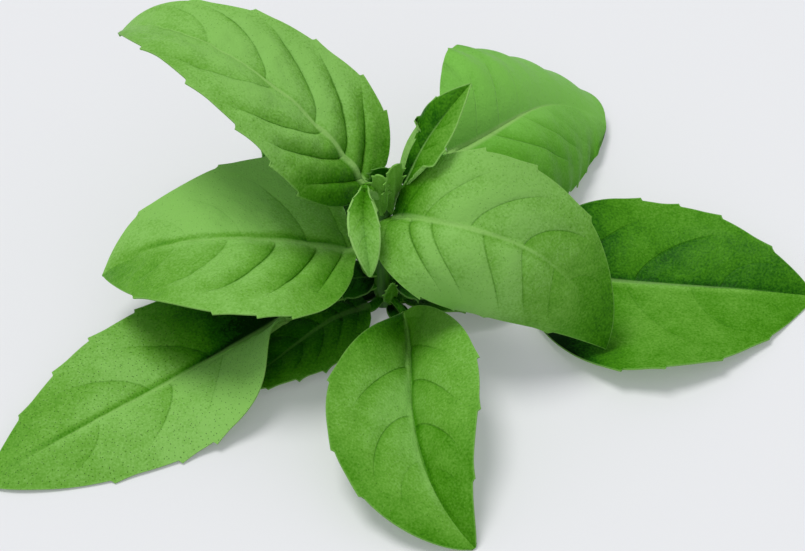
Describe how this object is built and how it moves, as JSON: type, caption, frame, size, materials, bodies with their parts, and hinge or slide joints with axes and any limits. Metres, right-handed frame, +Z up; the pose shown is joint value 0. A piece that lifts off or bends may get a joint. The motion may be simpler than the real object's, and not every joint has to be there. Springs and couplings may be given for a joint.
{
  "type": "basil sprig",
  "caption": "Cut basil sprig lying on a surface: short squarish stem with its growing tip, broad quilted leaves on stalks and young folded leaves at the top.",
  "frame": {"origin": "on the table, under the middle of the sprig's bounding box", "axes": "+X from the lower left leaf towards the right leaf, +Z up from the table, -Y towards the front leaf"},
  "size_m": [0.1468, 0.1126, 0.0487],
  "materials": {
    "basil_leaf": "satin",
    "young_basil_leaf": "satin",
    "basil_stem": "satin"
  },
  "bodies": {
    "root": {"stem": "basil_stem", "leaf_upper_left": "basil_leaf", "leaf_left": "basil_leaf", "leaf_center_right": "basil_leaf", "leaf_front": "basil_leaf", "leaf_lower_left": "basil_leaf", "leaf_small_left": "basil_leaf", "leaf_back_right": "basil_leaf", "leaf_right": "basil_leaf", "leaf_small_right": "basil_leaf", "leaf_back_left": "basil_leaf", "young_leaf_back": "young_basil_leaf", "young_leaf_front": "young_basil_leaf"}
  },
  "joints": []
}
